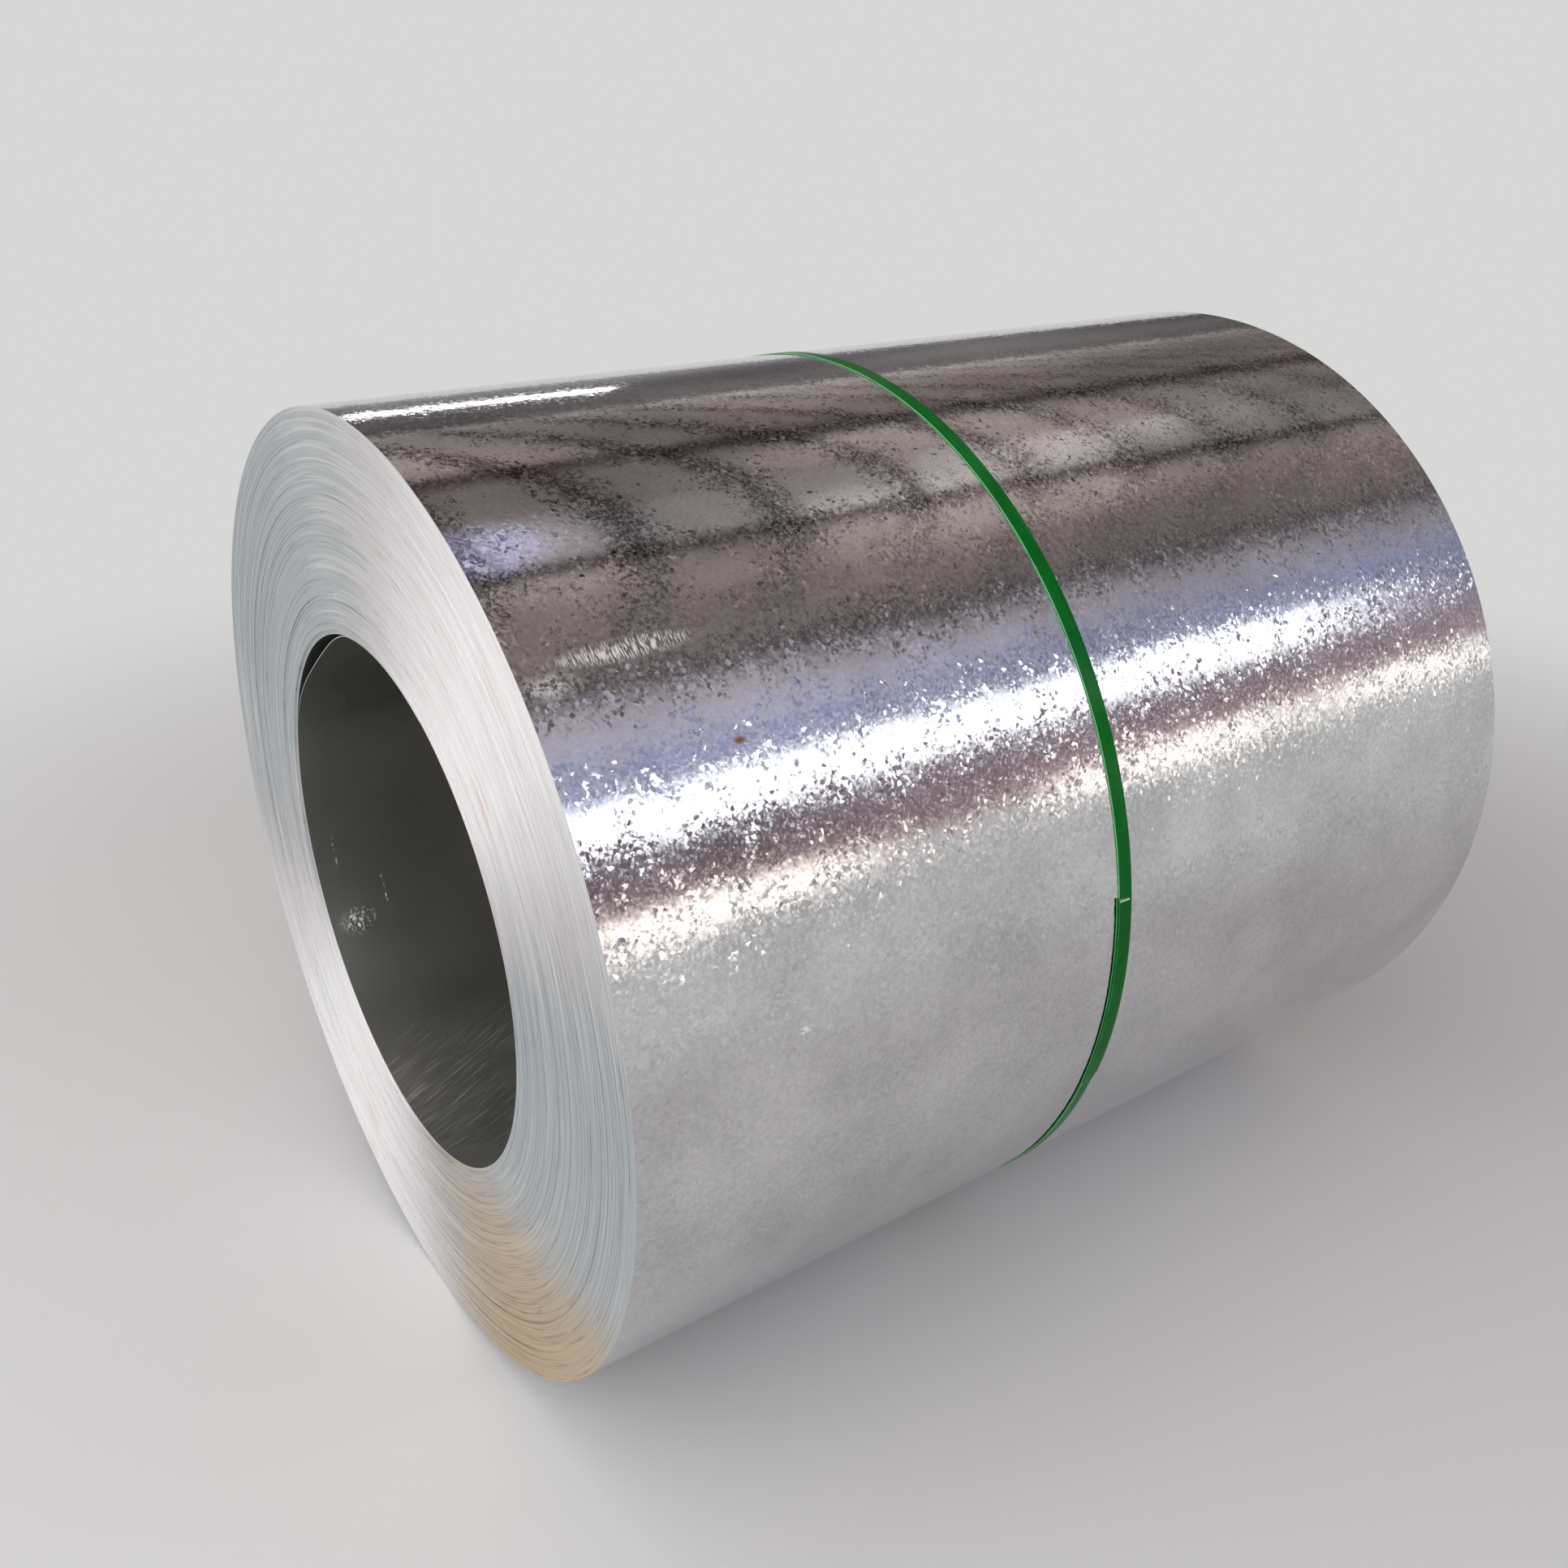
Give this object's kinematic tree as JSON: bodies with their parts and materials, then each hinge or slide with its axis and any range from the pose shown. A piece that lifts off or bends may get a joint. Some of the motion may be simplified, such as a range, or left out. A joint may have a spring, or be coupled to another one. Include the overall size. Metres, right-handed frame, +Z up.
{
  "type": "steel coil",
  "caption": "Wide coil of hot-dip galvanised steel strip lying on its side, with an open round bore, turns showing on both ends and a green plastic strap round the barrel.",
  "frame": {"origin": "on the floor under the middle of the coil: the middle of the bounding box's underside", "axes": "+X along the coil's axis, from the near end of the picture to the far end; +Z up; -Y is the side of the barrel that shows the strap's overlap"},
  "size_m": [1.253, 1.0884, 1.0874],
  "materials": {
    "galvanised_steel": "bright zinc coat with a small mottled spangle, paler fine-ringed ends, matter grey bore",
    "green_strap": "smooth semi-gloss deep green strapping"
  },
  "bodies": {
    "root": {"coil": "galvanised_steel", "strap": "green_strap"}
  },
  "joints": []
}
